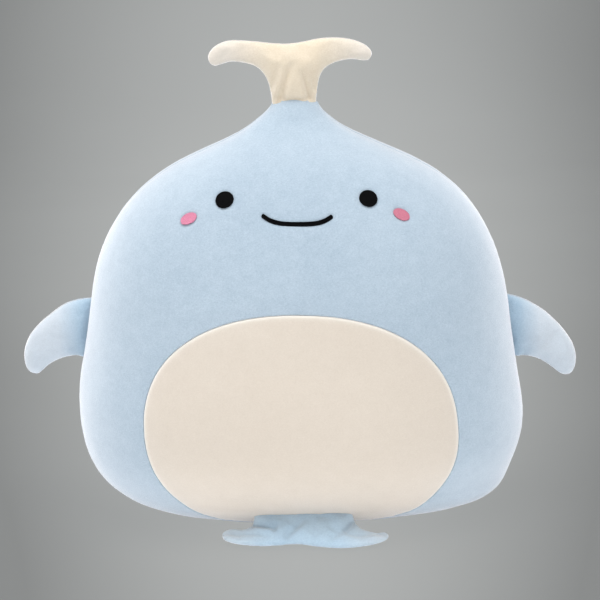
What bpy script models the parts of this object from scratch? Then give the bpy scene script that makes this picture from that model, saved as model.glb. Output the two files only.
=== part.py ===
# Plush whale: a stuffed pillow of a body that sits upright, with two flippers, a spout and a tail.
# Metres, +Z up. The whale faces -Y and stands on Z = 0 with the origin under its middle.

import math

import bmesh
import bpy

# Cloth and seams
cloth = 0.0020  # thickness of the body's cloth, pile included
limb_cloth = 0.0016  # the same on the limbs
seam_gap = 0.0003  # clearance between two sewn pieces
stuffing_gap = 0.0003  # clearance between the body's cloth and the stuffing in it
limb_stuffing_gap = 0.0006  # the same in the limbs
joint_gap = 0.0004  # clearance between the body and a limb's root
limb_seam_half = 0.0024  # least half thickness of a limb beside its seam
fold_swell_share = 0.50  # how far a limb's folded edge stands out of its cage before it is smoothed
rim_swell_share = 0.05  # the same for the thin rim of a cavity or a filling
puff_swell_share = 1.50  # the same for the puff
root_allowance = 0.0080  # turned-in cloth at a limb's root, which holds no stuffing
overrun = 0.0200  # how far a cutter reaches past what it cuts

# Body
body_height = 0.3870  # floor to the top of the neck
body_width = 0.4100
body_front_depth = 0.1380  # side seam to the front of the belly
body_back_depth = 0.1240
base_cut = 0.0005  # the round underside is cut flat this deep
base_seam_height = 0.0060  # floor to the seam round the base
body_corner_power = 2.25  # 2 gives oval rings, more gives squarer ones
ring_points = 16
# height, width and depth of each ring of the body's cage, from the base to the neck
body_ring_shares = (
    (0.000, 0.350, 0.260),
    (0.000, 0.575, 0.420),
    (0.034, 0.830, 0.640),
    (0.100, 0.940, 0.790),
    (0.200, 1.020, 0.970),
    (0.320, 1.010, 0.990),
    (0.450, 0.960, 0.920),
    (0.570, 0.935, 0.875),
    (0.680, 0.875, 0.780),
    (0.780, 0.750, 0.635),
    (0.860, 0.565, 0.485),
    (0.925, 0.240, 0.210),
    (0.975, 0.135, 0.120),
    (1.000, 0.100, 0.090),
)

# Belly patch
belly_width = 0.2840
belly_height = 0.2240
belly_centre_share = 0.279  # of the body's height
belly_corner_power = 2.2
belly_points = 48

# Embroidered face
stitch_height = 0.0005  # how far the satin stitches stand above the cloth
eye_width = 0.0160
eye_thickness = 0.0126
eye_spacing = 0.1270
eye_tilt = math.radians(18)
eye_height_share = 0.805  # of the body's height
eye_points = 20
cheek_width = 0.0155
cheek_thickness = 0.0084
cheek_spacing = 0.1880
cheek_height_share = 0.765
cheek_tilt = math.radians(24)
cheek_points = 20
mouth_thread_width = 0.0038
mouth_half_span = 0.0296  # middle to the place where an end starts to round off
mouth_rise = 0.0064
mouth_flatness = 3.6  # 2 gives a parabola, more a smile that is flat in the middle
mouth_low_share = 0.7573  # of the body's height
mouth_points = 24  # along the smile
mouth_end_points = 3  # along each rounded end
mouth_end_share = 0.98  # an end's last point stops this far round its curve

# Flippers: reach is measured outwards from the root seam, rise along it
flipper_reach = 0.0560
flipper_droop = 0.0540  # middle of the root seam down to the tip
flipper_root_share = 0.4535  # of the body's height
flipper_lean = math.radians(8)  # the side seam leans in by this towards the top
flipper_puff = 0.0125  # half thickness at the fullest place
# stations from root to tip: (reach, rise) of the lower and upper edge, then the puff at mid width
flipper_station_shares = (
    ((0.00, -0.56), (0.00, 0.56), 0.00),
    ((0.17, -0.55), (0.23, 0.47), 0.44),
    ((0.34, -0.62), (0.48, 0.29), 0.88),
    ((0.51, -0.76), (0.74, 0.03), 1.00),
    ((0.66, -0.91), (0.95, -0.33), 0.82),
    ((0.78, -1.00), (0.99, -0.76), 0.00),
)

# Spout: a stem that parts into two lobes
spout_half_width = 0.0745
spout_rise = 0.0590
spout_puff = 0.0105
# columns from the middle to a tip: (across, up) of the lower, middle and upper row, then the puffs
# of the lower and middle rows
spout_column_shares = (
    ((0.00, 0.47), (0.00, 0.72), (0.00, 0.925), 0.86, 1.00),
    ((0.30, 0.42), (0.29, 0.70), (0.30, 0.957), 0.00, 0.95),
    ((0.46, 0.575), (0.50, 0.78), (0.55, 0.995), 0.00, 0.95),
    ((0.70, 0.655), (0.75, 0.80), (0.80, 0.955), 0.00, 0.85),
    ((0.93, 0.62), (0.995, 0.735), (0.95, 0.86), 0.00, 0.00),
)
# the stem's two rows below those: half width, height and the puff in the middle
spout_stem_shares = ((0.268, 0.00, 0.00), (0.270, 0.20, 0.48))

# Tail: the same pattern as the spout with a wider stem. It falls forward from the foot of the
# belly, and its edge rests on the floor.
tail_half_width = 0.0765
tail_length = 0.0390
tail_upper_puff = 0.0078
tail_lower_puff = 0.0034
tail_droop = math.radians(32)  # the tail falls from its seam to the floor by this
tail_root_height = 0.0205
tail_root_seat = 0.0006  # how far its seam is drawn in against the belly
tail_column_shares = (
    ((0.00, 0.42), (0.00, 0.66), (0.00, 0.87), 0.85, 1.00),
    ((0.64, 0.37), (0.53, 0.66), (0.50, 0.96), 0.00, 0.90),
    ((0.76, 0.38), (0.75, 0.62), (0.73, 0.90), 0.00, 0.75),
    ((0.88, 0.40), (0.88, 0.60), (0.86, 0.80), 0.00, 0.55),
    ((0.95, 0.46), (1.00, 0.57), (0.97, 0.68), 0.00, 0.00),
)
tail_stem_shares = ((0.600, 0.00, 0.00), (0.605, 0.23, 0.30))

# Colours, linear red, green and blue
blue_plush = (0.52, 0.66, 0.80)
pale_blue_plush = (0.56, 0.69, 0.82)
cream_plush = (0.80, 0.73, 0.64)
black_thread = (0.010, 0.010, 0.012)
pink_thread = (0.85, 0.32, 0.47)
white_fibre = (0.86, 0.86, 0.84)


def clear_scene():
    for thing in list(bpy.data.objects):
        bpy.data.objects.remove(thing, do_unlink=True)


def make_collection(name):
    made = bpy.data.collections.new(name)
    bpy.context.scene.collection.children.link(made)
    return made


def make_material(name, colour, roughness):
    material = bpy.data.materials.new(name)
    material.use_nodes = True
    shader = material.node_tree.nodes["Principled BSDF"]
    shader.inputs["Base Color"].default_value = (*colour, 1.0)
    shader.inputs["Roughness"].default_value = roughness
    shader.inputs["Metallic"].default_value = 0.0
    return material


def add_object(name, mesh, collection, parent=None, material=None):
    made = bpy.data.objects.new(name, mesh)
    collection.objects.link(made)
    made.parent = parent
    if material is not None:
        made.data.materials.clear()
        made.data.materials.append(material)
    if collection is cutters:
        made.hide_render = True
        made.display_type = "WIRE"
    return made


def add_hinge(name, location, rotation):
    hinge = bpy.data.objects.new(name, None)
    hinge.empty_display_type = "SINGLE_ARROW"
    hinge.empty_display_size = flipper_reach
    hinge.location = location
    hinge.rotation_euler = rotation
    parts.objects.link(hinge)
    return hinge


def finish_mesh(name, bm):
    bm.normal_update()
    bmesh.ops.recalc_face_normals(bm, faces=bm.faces)
    if bm.calc_volume(signed=True) < 0:
        bmesh.ops.reverse_faces(bm, faces=bm.faces)
    mesh = bpy.data.meshes.new(name)
    bm.to_mesh(mesh)
    bm.free()
    mesh.shade_smooth()
    return mesh


def subdivide(thing, levels):
    smooth = thing.modifiers.new("smooth form", "SUBSURF")
    smooth.levels = levels
    smooth.render_levels = levels


def displace(thing, distance):
    """Moves the surface out along its normals, or in where the distance is negative."""
    offset = thing.modifiers.new("offset", "DISPLACE")
    offset.mid_level = 0.0
    offset.strength = distance


def triangulate(thing):
    """Splits every quad along the same diagonal, so that nested forms stay evenly apart."""
    split = thing.modifiers.new("even facets", "TRIANGULATE")
    split.quad_method = "FIXED"


def cut(thing, cutter, operation):
    boolean = thing.modifiers.new(cutter.name, "BOOLEAN")
    boolean.operation = operation
    boolean.object = cutter
    boolean.solver = "EXACT"


def superellipse(angle, power):
    """A point of a unit oval whose sides grow straighter as the power grows."""
    across, up = math.cos(angle), math.sin(angle)
    return (
        math.copysign(abs(across) ** (2 / power), across),
        math.copysign(abs(up) ** (2 / power), up),
    )


# Body forms


def body_mesh():
    """A cylinder whose rings are drawn in and let out to the shares of the body."""
    last = len(body_ring_shares) - 1
    bm = bmesh.new()
    bmesh.ops.create_cone(bm, cap_ends=True, segments=ring_points, radius1=1, radius2=1, depth=1)
    uprights = [edge for edge in bm.edges if abs(edge.verts[0].co.z - edge.verts[1].co.z) > 0.5]
    bmesh.ops.subdivide_edges(bm, edges=uprights, cuts=last - 1)
    # one subdivision draws a ring in by this factor
    ring_swell = 8 / (6 + 2 * math.cos(2 * math.pi / ring_points))
    for vert in bm.verts:
        height, width, depth = body_ring_shares[round((vert.co.z + 0.5) * last)]
        across, along = superellipse(math.atan2(vert.co.y, vert.co.x), body_corner_power)
        reach = body_front_depth if along < 0 else body_back_depth
        vert.co.x = across * width * ring_swell * body_width / 2
        vert.co.y = along * depth * ring_swell * reach
        vert.co.z = height * (body_height + base_cut) - base_cut
    return finish_mesh("body form", bm)


def body_object(name, mesh, offset, collection, material=None):
    made = add_object(name, mesh.copy(), collection, material=material)
    subdivide(made, 1)
    if offset:
        displace(made, offset)
    triangulate(made)
    return made


def zone(name, low, high, parent=None):
    """A box that keeps one side of a seam, between two corners."""
    bm = bmesh.new()
    bmesh.ops.create_cube(bm, size=1)
    size = [b - a for a, b in zip(low, high)]
    middle = [(a + b) / 2 for a, b in zip(low, high)]
    bmesh.ops.scale(bm, vec=size, verts=bm.verts)
    bmesh.ops.translate(bm, vec=middle, verts=bm.verts)
    return add_object(name, finish_mesh(name, bm), cutters, parent)


def oval_cutter(name, width, height, power, points, centre, tilt=0.0):
    """A prism along Y with an oval outline, from in front of the body to the side seam."""
    length = body_front_depth + overrun
    bm = bmesh.new()
    bmesh.ops.create_cone(bm, cap_ends=True, segments=points, radius1=1, radius2=1, depth=1)
    for vert in bm.verts:
        across, up = superellipse(math.atan2(vert.co.y, vert.co.x), power)
        x, z = across * width / 2, up * height / 2
        y = (vert.co.z - 0.5) * length
        vert.co = (
            centre[0] + x * math.cos(tilt) - z * math.sin(tilt),
            y,
            centre[1] + x * math.sin(tilt) + z * math.cos(tilt),
        )
    return add_object(name, finish_mesh(name, bm), cutters)


def mouth_cutter(name, width):
    """The smile's band: a round-ended strip bent to a curve that is flat in the middle."""
    length = body_front_depth + overrun
    end_room = width / 2
    low = mouth_low_share * body_height
    steps = mouth_points + 2 * mouth_end_points
    bm = bmesh.new()
    bmesh.ops.create_grid(bm, x_segments=1, y_segments=steps, size=1)
    for vert in bm.verts:
        reach = abs(vert.co.y) * (mouth_half_span + end_room)
        inner = min(reach, mouth_half_span)
        beyond = reach - inner
        past = mouth_end_share * beyond / end_room
        across = vert.co.x * width / 2 * math.sqrt(1 - past * past)
        share = inner / mouth_half_span
        lean = math.atan(mouth_flatness * mouth_rise / mouth_half_span * share ** (mouth_flatness - 1))
        side = inner + beyond * math.cos(lean) - across * math.sin(lean)
        up = mouth_rise * share**mouth_flatness + beyond * math.sin(lean) + across * math.cos(lean)
        vert.co = (math.copysign(side, vert.co.y), 0.0, low + up)
    grown = bmesh.ops.extrude_face_region(bm, geom=list(bm.faces))
    moved = [part for part in grown["geom"] if isinstance(part, bmesh.types.BMVert)]
    bmesh.ops.translate(bm, vec=(0.0, -length, 0.0), verts=moved)
    return add_object(name, finish_mesh(name, bm), cutters)


# Limb forms


def limb_grid(bm, columns, rows, keep):
    """A flat grid of cells, less those that keep turns down, and its vertices by column and row."""
    bmesh.ops.create_grid(bm, x_segments=columns, y_segments=rows, size=1)
    places = {}
    for vert in bm.verts:
        column = round((vert.co.x + 1) / 2 * columns)
        row = round((vert.co.y + 1) / 2 * rows)
        places[vert] = (column, row)
    spare = []
    for face in bm.faces:
        low_column = min(places[vert][0] for vert in face.verts)
        low_row = min(places[vert][1] for vert in face.verts)
        if not keep(low_column, low_row):
            spare.append(face)
    bmesh.ops.delete(bm, geom=spare, context="FACES")
    return {places[vert]: vert for vert in bm.verts}


def inner_neighbours(key, edge_places, grid):
    """The places inside the edge next to one on it: straight in, or slantwise at a corner."""
    inner = [other for other in grid if other not in edge_places]
    steps = {other: (abs(other[0] - key[0]), abs(other[1] - key[1])) for other in inner}
    straight = [other for other in inner if sum(steps[other]) == 1]
    return straight or [other for other in inner if max(steps[other]) == 1]


def puffed_mesh(name, bm, grid, point, puffs, inset, is_root):
    """Lays a grid out by point(), puffs both its sides and closes them along the seam.

    Subdivision draws the cage in: an edge by a share of its distance to the row inside it, and
    the puff by a third, so the cage stands out by as much.
    The inset leaves room for the cloth, and a form that has one gets a thin rim.
    """
    edge_swell = rim_swell_share if inset else fold_swell_share
    edge_places = {key for key, vert in grid.items() if vert.is_boundary}
    flat = {key: point(*key) for key in grid}
    laid = dict(flat)
    for key in edge_places:
        u, v, _ = flat[key]
        near = inner_neighbours(key, edge_places, grid)
        du = sum(flat[other][0] for other in near) / len(near) - u
        dv = sum(flat[other][1] for other in near) / len(near) - v
        drawn_in = inset
        if inset and is_root(*key):
            drawn_in += root_allowance - limb_cloth
        share = drawn_in / math.hypot(du, dv)
        share -= edge_swell * (1 - share)
        laid[key] = (u + du * share, v + dv * share, 0.0)
    thin = limb_seam_half - inset
    verts = list(grid.items())
    seam = [edge for edge in bm.edges if edge.is_boundary]
    copied = bmesh.ops.duplicate(bm, geom=bm.verts[:] + bm.edges[:] + bm.faces[:])
    twin = copied["vert_map"]
    for key, vert in verts:
        u, v, puff = laid[key]
        depths = [puff_swell_share * max(thin, puff * full - inset) - thin / 2 for full in puffs]
        if key in edge_places:
            depths = (thin, thin) if inset else (0.0, 0.0)
        vert.co = (u, -depths[0], v)
        twin[vert].co = (u, depths[1], v)
    if inset:
        for edge in seam:
            first, second = edge.verts
            bm.faces.new((first, second, twin[second], twin[first]))
    else:
        bmesh.ops.remove_doubles(bm, verts=bm.verts, dist=seam_gap / 10)
    return finish_mesh(name, bm)


def flipper_mesh(name, inset):
    stations = flipper_station_shares

    def point(column, row):
        lower, upper, puff = stations[column]
        along = row / 2
        reach = (lower[0] * (1 - along) + upper[0] * along) * flipper_reach
        rise = (lower[1] * (1 - along) + upper[1] * along) * flipper_droop
        return reach, rise, puff if row == 1 else 0.0

    bm = bmesh.new()
    grid = limb_grid(bm, len(stations) - 1, 2, lambda column, row: True)
    puffs = (flipper_puff, flipper_puff)
    return puffed_mesh(name, bm, grid, point, puffs, inset, lambda column, row: column == 0)


def fluke_mesh(name, columns, stem, half_width, length, puffs, inset):
    """A stem that parts into two lobes, laid out across X and up Z."""
    reach = len(columns) - 1

    def point(column, row):
        side = column - reach
        if row < 2:
            half, up, puff = stem[row]
            return side * half * half_width, up * length, puff if side == 0 else 0.0
        across, up = columns[abs(side)][row - 2]
        puff = 0.0 if row == 4 else columns[abs(side)][row + 1]
        return math.copysign(across, side) * half_width, up * length, puff

    bm = bmesh.new()
    grid = limb_grid(
        bm, 2 * reach, 4, lambda column, row: row >= 2 or column in (reach - 1, reach)
    )
    return puffed_mesh(name, bm, grid, point, puffs, inset, lambda column, row: row == 0)


def stuffed_limb(name, make_mesh, hinge, halves, cloth_material, smoothness=2):
    """Two sewn panels round a cavity, and the stuffing in it."""
    room = body_width
    cavity = add_object(name + " cavity", make_mesh(name + " cavity", limb_cloth), cutters, hinge)
    subdivide(cavity, 1)
    for half, side in halves.items():
        sides = sorted((side * seam_gap / 2, side * room))
        keep = zone(f"{name} {half} side", (-room, sides[0], -room), (room, sides[1], room), hinge)
        panel = add_object(f"{name}_{half}_panel", make_mesh(name, 0.0), parts, hinge, cloth_material)
        subdivide(panel, smoothness)
        cut(panel, keep, "INTERSECT")
        cut(panel, cavity, "DIFFERENCE")
    stuffing_inset = limb_cloth + limb_stuffing_gap
    mesh = make_mesh(name + " filling", stuffing_inset)
    filling = add_object(name + "_filling", mesh, parts, hinge, fibre)
    subdivide(filling, 1)


# Build

clear_scene()
parts = make_collection("plush_whale")
cutters = make_collection("seam_cutters")

blue = make_material("blue plush", blue_plush, 0.9)
pale_blue = make_material("pale blue plush", pale_blue_plush, 0.9)
cream = make_material("cream plush", cream_plush, 0.9)
black = make_material("black satin stitch", black_thread, 0.45)
pink = make_material("pink satin stitch", pink_thread, 0.5)
fibre = make_material("polyester fibre", white_fibre, 1.0)

form = body_mesh()
cavity = body_object("body cavity", form, -cloth, cutters)

# Seam lines of the body: side seams at Y = 0, a back seam at X = 0, a seam round the base
far = body_width / 2 + overrun
front = -body_front_depth - overrun
back = body_back_depth + overrun
top = body_height + overrun
half_gap = seam_gap / 2
above_base = base_seam_height + half_gap
front_zone = zone("front zone", (-far, front, above_base), (far, -half_gap, top))
back_zones = {
    "left": zone("back left zone", (-far, half_gap, above_base), (-half_gap, back, top)),
    "right": zone("back right zone", (half_gap, half_gap, above_base), (far, back, top)),
}
base_zone = zone("base zone", (-far, front, 0.0), (far, back, base_seam_height - half_gap))

# Embroidery: each piece fills its own window in the face
stitched = []
windows = []
for side, sign in (("left", -1), ("right", 1)):
    eye_centre = (sign * eye_spacing / 2, eye_height_share * body_height)
    cheek_centre = (sign * cheek_spacing / 2, cheek_height_share * body_height)
    for what, width, height, points, centre, tilt, thread in (
        ("eye", eye_width, eye_thickness, eye_points, eye_centre, -sign * eye_tilt, black),
        ("cheek", cheek_width, cheek_thickness, cheek_points, cheek_centre, -sign * cheek_tilt, pink),
    ):
        name = f"{what}_{side}"
        outline = oval_cutter(name + " outline", width, height, 2, points, centre, tilt)
        stitched.append((name, outline, thread))
        grown = (width + 2 * seam_gap, height + 2 * seam_gap)
        windows.append(oval_cutter(name + " window", *grown, 2, points, centre, tilt))
stitched.append(("mouth", mouth_cutter("mouth outline", mouth_thread_width), black))
windows.append(mouth_cutter("mouth window", mouth_thread_width + 2 * seam_gap))
for name, outline, thread in stitched:
    patch = body_object(name, form, stitch_height, parts, thread)
    cut(patch, outline, "INTERSECT")
    cut(patch, cavity, "DIFFERENCE")

# Body panels
belly_centre = (0.0, belly_centre_share * body_height)
belly_outline = oval_cutter(
    "belly outline", belly_width, belly_height, belly_corner_power, belly_points, belly_centre
)
belly_window = oval_cutter(
    "belly window",
    belly_width + 2 * seam_gap,
    belly_height + 2 * seam_gap,
    belly_corner_power,
    belly_points,
    belly_centre,
)
face_panel = body_object("face_panel", form, 0.0, parts, blue)
cut(face_panel, front_zone, "INTERSECT")
cut(face_panel, belly_window, "DIFFERENCE")
for window in windows:
    cut(face_panel, window, "DIFFERENCE")
cut(face_panel, cavity, "DIFFERENCE")

belly_panel = body_object("belly_panel", form, 0.0, parts, cream)
cut(belly_panel, front_zone, "INTERSECT")
cut(belly_panel, belly_outline, "INTERSECT")
cut(belly_panel, cavity, "DIFFERENCE")

for side, back_zone in back_zones.items():
    back_panel = body_object(f"back_panel_{side}", form, 0.0, parts, blue)
    cut(back_panel, back_zone, "INTERSECT")
    cut(back_panel, cavity, "DIFFERENCE")

base_panel = body_object("base_panel", form, 0.0, parts, blue)
cut(base_panel, base_zone, "INTERSECT")
cut(base_panel, cavity, "DIFFERENCE")

body_object("body_filling", form, -cloth - stuffing_gap, parts, fibre)


def body_shares(height):
    """The body's width and depth shares at a height, on the curve that subdivision makes."""
    share = (height + base_cut) / (body_height + base_cut)
    steps = 200
    nearest = (1.0, None)
    for window in zip(*(body_ring_shares[start:] for start in range(4))):
        for step in range(steps):
            t = step / steps
            weights = (
                (1 - t) ** 3 / 6,
                (3 * t**3 - 6 * t**2 + 4) / 6,
                (-3 * t**3 + 3 * t**2 + 3 * t + 1) / 6,
                t**3 / 6,
            )
            level, width, depth = (sum(w * s for w, s in zip(weights, row)) for row in zip(*window))
            nearest = min(nearest, (abs(level - share), (width, depth)))
    return nearest[1]


# Flippers hang from the side seams. The left one is the right one turned half round.
flipper_root_height = flipper_root_share * body_height
flipper_root_reach = body_shares(flipper_root_height)[0] * body_width / 2 + joint_gap
for side, sign, turn in (("left", -1, math.pi), ("right", 1, 0.0)):
    hinge = add_hinge(
        f"flipper_{side}_hinge",
        (sign * flipper_root_reach, 0.0, flipper_root_height),
        (0.0, -flipper_lean, turn),
    )
    halves = {"front": -sign, "back": sign}
    stuffed_limb(f"flipper_{side}", flipper_mesh, hinge, halves, blue)


def spout_mesh(name, inset):
    puffs = (spout_puff, spout_puff)
    sizes = (spout_half_width, spout_rise)
    return fluke_mesh(name, spout_column_shares, spout_stem_shares, *sizes, puffs, inset)


hinge = add_hinge("spout_hinge", (0.0, 0.0, body_height + joint_gap), (0.0, 0.0, 0.0))
stuffed_limb("spout", spout_mesh, hinge, {"front": -1, "back": 1}, cream)


def tail_mesh(name, inset):
    puffs = (tail_lower_puff, tail_upper_puff)
    sizes = (tail_half_width, tail_length)
    return fluke_mesh(name, tail_column_shares, tail_stem_shares, *sizes, puffs, inset)


tail_root_reach = body_shares(tail_root_height)[1] * body_front_depth - tail_root_seat
hinge = add_hinge(
    "tail_hinge",
    (0.0, -tail_root_reach, tail_root_height),
    (math.pi / 2 + tail_droop, 0.0, 0.0),
)
stuffed_limb("tail", tail_mesh, hinge, {"lower": -1, "upper": 1}, pale_blue, smoothness=1)
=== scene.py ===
# Plush whale: sewn panels, embroidered face and stuffed limbs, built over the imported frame.
import math

import bmesh
import bpy
import numpy as np
from mathutils import Matrix, Vector, kdtree, noise
from mathutils.bvhtree import BVHTree


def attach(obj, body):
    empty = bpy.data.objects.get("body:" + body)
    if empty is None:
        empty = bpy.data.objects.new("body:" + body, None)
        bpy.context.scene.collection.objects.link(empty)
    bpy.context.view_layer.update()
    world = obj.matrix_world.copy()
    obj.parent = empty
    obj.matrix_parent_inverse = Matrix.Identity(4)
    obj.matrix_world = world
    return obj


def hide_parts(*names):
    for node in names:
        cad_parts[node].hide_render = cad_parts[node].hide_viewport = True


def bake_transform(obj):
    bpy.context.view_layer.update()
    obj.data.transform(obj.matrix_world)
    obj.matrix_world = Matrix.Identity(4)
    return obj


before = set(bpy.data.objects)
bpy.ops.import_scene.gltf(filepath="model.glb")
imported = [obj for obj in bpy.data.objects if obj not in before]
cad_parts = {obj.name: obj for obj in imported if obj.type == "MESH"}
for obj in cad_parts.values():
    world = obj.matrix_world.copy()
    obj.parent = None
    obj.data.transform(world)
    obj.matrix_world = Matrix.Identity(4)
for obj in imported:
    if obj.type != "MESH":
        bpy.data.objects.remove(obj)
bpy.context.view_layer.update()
mm = 0.001
print("frame loaded:", len(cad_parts), "nodes")


def vertArray(bm):
    bm.verts.ensure_lookup_table()
    bm.verts.index_update()
    return np.array([vert.co for vert in bm.verts], float).reshape(-1, 3)


def placeVerts(bm, points):
    for vert, point in zip(bm.verts, points):
        vert.co = point


def addObject(name, data):
    made = bpy.data.objects.new(name, data)
    bpy.context.scene.collection.objects.link(made)
    return made


def meshFrom(name, bm):
    mesh = bpy.data.meshes.new(name)
    bm.to_mesh(mesh)
    bm.free()
    mesh.shade_smooth()
    return mesh


def treeOf(points):
    tree = kdtree.KDTree(len(points))
    for index, point in enumerate(points):
        tree.insert(point, index)
    tree.balance()
    return tree


def flatGrid(low, high, cells):
    # a flat grid between two corners of a pattern
    bm = bmesh.new()
    bmesh.ops.create_grid(bm, x_segments=cells[0], y_segments=cells[1], size=1)
    for vert in bm.verts:
        vert.co.x = low[0] + (vert.co.x + 1) / 2 * (high[0] - low[0])
        vert.co.y = low[1] + (vert.co.y + 1) / 2 * (high[1] - low[1])
    return bm


def refineNear(bm, distance, reach):
    # splits the cells that lie within reach of a line
    far = distance(vertArray(bm))
    near = [edge for edge in bm.edges if max(far[vert.index] for vert in edge.verts) < reach]
    bmesh.ops.subdivide_edges(bm, edges=near, cuts=1, use_grid_fill=True)


def cutAlong(bm, side, weld):
    # cuts a pattern where side() changes sign and keeps the part where it is below zero
    bm.verts.index_update()
    value = side(vertArray(bm))
    astride = lambda part: min(value[v.index] for v in part.verts) < 0 < max(value[v.index] for v in part.verts)
    bmesh.ops.triangulate(bm, faces=[part for part in bm.faces if astride(part)])
    bm.verts.index_update()
    flat = vertArray(bm)
    value = side(flat)
    crossed = [edge for edge in bm.edges if value[edge.verts[0].index] * value[edge.verts[1].index] < 0]
    first = np.array([edge.verts[0].index for edge in crossed])
    second = np.array([edge.verts[1].index for edge in crossed])
    # where each edge crosses the line, closed in on by three straight-line guesses
    low, high = np.zeros(len(crossed)), np.ones(len(crossed))
    lowValue, highValue = value[first], value[second]
    share = lowValue / (lowValue - highValue)
    for _ in range(3):
        found = side(flat[first] + (flat[second] - flat[first]) * share[:, None])
        same = found * lowValue > 0
        low, lowValue = np.where(same, share, low), np.where(same, found, lowValue)
        high, highValue = np.where(same, high, share), np.where(same, highValue, found)
        share = low + (high - low) * lowValue / (lowValue - highValue + 1e-15)
    onCut = []
    for edge, where in zip(crossed, share):
        onCut.append(bmesh.utils.edge_split(edge, edge.verts[0], float(np.clip(where, 0.01, 0.99)))[1])
    bmesh.ops.connect_verts(bm, verts=onCut)
    bm.verts.index_update()
    cutIndices = {vert.index for vert in onCut}
    value = side(vertArray(bm))
    spare = []
    for part in bm.faces:
        clear = [value[vert.index] for vert in part.verts if vert.index not in cutIndices]
        if clear and max(clear, key=abs) > 0:
            spare.append(part)
    bmesh.ops.delete(bm, geom=spare, context="FACES")
    bmesh.ops.remove_doubles(bm, verts=bm.verts, dist=weld)


def measureTo(line, closed=False):
    # a function that gives each point's distance from a line, and how far along it the nearest place is
    line = np.array(line, float)
    if closed:
        line = np.vstack([line, line[:1]])
    tree = treeOf(line)

    def measure(points):
        near = np.array([tree.find(point)[1] for point in points])
        best = np.full(len(points), np.inf)
        for step in (-1, 0):
            a = np.clip(near + step, 0, len(line) - 2)
            start, run = line[a], line[a + 1] - line[a]
            share = np.sum((points - start) * run, 1) / np.maximum(np.sum(run * run, 1), 1e-18)
            foot = start + run * np.clip(share, 0, 1)[:, None]
            best = np.minimum(best, np.linalg.norm(points - foot, axis=1))
        return best, near / (len(line) - 1)

    return measure


def softNoise(points, size, seed=0.0):
    shift = Vector((seed, seed * 1.7, -seed))
    return np.array([noise.noise(Vector(point) / size + shift) for point in points])


def rolledEdge(distance, roll, depth):
    # how far cloth drops as it rolls over into a seam
    near = np.clip(1 - distance / roll, 0, 1)
    return -depth * (1 - np.sqrt(1 - near**2))


def makePiece(name, bm, material, node, bodyName=None, thickness=0.0, uv=None):
    bm.normal_update()
    if uv is not None:
        layer = bm.loops.layers.uv.new("pattern")
        for part in bm.faces:
            for loop in part.loops:
                loop[layer].uv = uv[loop.vert.index]
    piece = addObject(name, meshFrom(name, bm))
    piece.data.materials.append(material)
    if thickness:
        wall = piece.modifiers.new("cloth", "SOLIDIFY")
        wall.thickness = thickness
        wall.offset = -1
        wall.use_even_offset = False
    if bodyName:
        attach(piece, bodyName)
    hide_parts(node)
    return piece


def nodeOf(material, kind, **settings):
    node = material.node_tree.nodes.new(kind)
    for key, value in settings.items():
        setattr(node, key, value)
    return node


def join(material, source, target):
    material.node_tree.links.new(source, target)


def noiseAt(material, coordinate, scale, detail, roughness=0.5, stretch=(1, 1, 1)):
    mapping = nodeOf(material, "ShaderNodeMapping")
    mapping.inputs["Scale"].default_value = stretch
    join(material, coordinate, mapping.inputs["Vector"])
    field = nodeOf(material, "ShaderNodeTexNoise")
    field.inputs["Scale"].default_value = scale
    field.inputs["Detail"].default_value = detail
    field.inputs["Roughness"].default_value = roughness
    join(material, mapping.outputs["Vector"], field.inputs["Vector"])
    return field.outputs["Fac"]


def ranged(material, value, low, high, fromLow=0.3, fromHigh=0.7, **settings):
    node = nodeOf(material, "ShaderNodeMapRange", **settings)
    node.inputs["From Min"].default_value = fromLow
    node.inputs["From Max"].default_value = fromHigh
    node.inputs["To Min"].default_value = low
    node.inputs["To Max"].default_value = high
    join(material, value, node.inputs["Value"])
    return node.outputs["Result"]


def mathOf(material, operation, first, *others):
    # the operation done on the first two values, then on that and the next
    for other in others:
        node = nodeOf(material, "ShaderNodeMath", operation=operation)
        for socket, value in zip(node.inputs, (first, other)):
            if isinstance(value, (int, float)):
                socket.default_value = value
            else:
                join(material, value, socket)
        first = node.outputs["Value"]
    return first


def mixed(material, share, first, second):
    # a blend of two colours, each a plain tone or another node's output
    node = nodeOf(material, "ShaderNodeMix", data_type="RGBA")
    join(material, share, node.inputs["Factor"])
    for key, colour in (("A", first), ("B", second)):
        if isinstance(colour, tuple):
            node.inputs[key].default_value = (*colour, 1)
        else:
            join(material, colour, node.inputs[key])
    return node.outputs["Result"]


def bumped(material, height, strength, distance, under=None):
    node = nodeOf(material, "ShaderNodeBump")
    node.inputs["Strength"].default_value = strength
    node.inputs["Distance"].default_value = distance
    join(material, height, node.inputs["Height"])
    if under is not None:
        join(material, under, node.inputs["Normal"])
    return node.outputs["Normal"]


def newMaterial(name, finish):
    material = bpy.data.materials.new(name)
    material.use_nodes = True
    shader = material.node_tree.nodes["Principled BSDF"]
    for socket, value in finish.items():
        shader.inputs[socket].default_value = value
    return material, shader


plush = {
    "finish": {"Roughness": 0.92, "Specular IOR Level": 0.12, "Sheen Weight": 1.0, "Sheen Roughness": 0.50},
    # cells a metre, detail, roughness and stretch of each pattern, and how far it moves the tone
    "fibres": ((1500.0, 2.0, 0.6), 0.22),
    "tufts": ((640.0, 3.0, 0.6, (1.0, 1.0, 1.3)), 0.30),
    "nap": ((110.0, 4.0, 0.65, (0.8, 0.8, 1.1)), 0.14),
    "patches": ((9.0, 2.0, 0.5), 0.14),
    "middleTone": 0.5,
    "tipShadow": 0.86,
    "tuftBump": (0.22, 0.0009),  # strength, and height in metres
    "pileBump": (0.28, 0.0006),
}


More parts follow.
